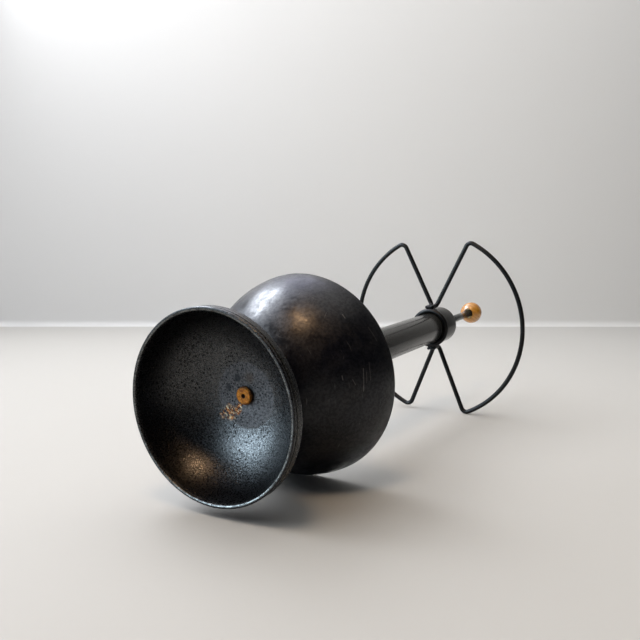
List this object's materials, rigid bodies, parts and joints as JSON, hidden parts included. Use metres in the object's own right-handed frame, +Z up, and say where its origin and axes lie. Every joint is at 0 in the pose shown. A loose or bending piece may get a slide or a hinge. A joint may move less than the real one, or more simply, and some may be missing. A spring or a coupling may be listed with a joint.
{
  "type": "umbrella stand",
  "caption": "Free-standing umbrella stand: hollow round foot, drip bowl, tube column, twin wire loops round a cap, and a carrying rod with a wooden ball.",
  "frame": {"origin": "centre of the circle that the foot's rim rests on", "axes": "+Z up the column towards the ball; X through the middles of the two wire loops"},
  "size_m": [0.2886, 0.282, 0.7709],
  "materials": {
    "foot_paint": "black textured enamel on cast iron, satin, bluish sheen",
    "bowl_paint": "black enamel, satin, lightly scratched",
    "column_paint": "charcoal paint, semi-gloss",
    "cap_paint": "charcoal paint, satin",
    "rod_paint": "charcoal paint, satin",
    "wire_paint": "black enamel on steel wire, satin",
    "rusty_steel": "steel covered in orange rust, matte",
    "bare_steel": "zinc-plated steel, satin",
    "rubber": "matte black rubber",
    "lacquered_wood": "honey-coloured turned wood, glossy lacquer",
    "brass": "turned brass, satin"
  },
  "bodies": {
    "stand": {"foot_shell": "foot_paint", "foot_bolt": "rusty_steel", "foot_gasket": "rubber", "bowl": "bowl_paint", "floor_gasket": "rubber", "column_tube": "column_paint", "bottom_plug": "bare_steel", "top_plug": "bare_steel", "handle_rod": "rod_paint"},
    "rack": {"top_cap": "cap_paint", "rack_ring": "wire_paint", "loop_right": "wire_paint", "loop_left": "wire_paint", "weld_front": "wire_paint", "weld_back": "wire_paint", "cap_washer": "bare_steel"},
    "nut": {"cap_nut": "bare_steel"},
    "ball": {"ball_knob": "lacquered_wood", "ball_insert": "brass"}
  },
  "joints": [
    {"name": "rack_swivel", "type": "hinge", "parent": "stand", "child": "rack", "pos_m": [0, 0, 0.582], "axis": [0, 0, 1], "continuous": true},
    {"name": "nut_turn", "type": "hinge", "parent": "stand", "child": "nut", "pos_m": [0, 0, 0.605], "axis": [0, 0, 1], "range_deg": [0, 360]},
    {"name": "ball_turn", "type": "hinge", "parent": "stand", "child": "ball", "pos_m": [0, 0, 0.752], "axis": [0, 0, 1], "range_deg": [0, 360]}
  ]
}
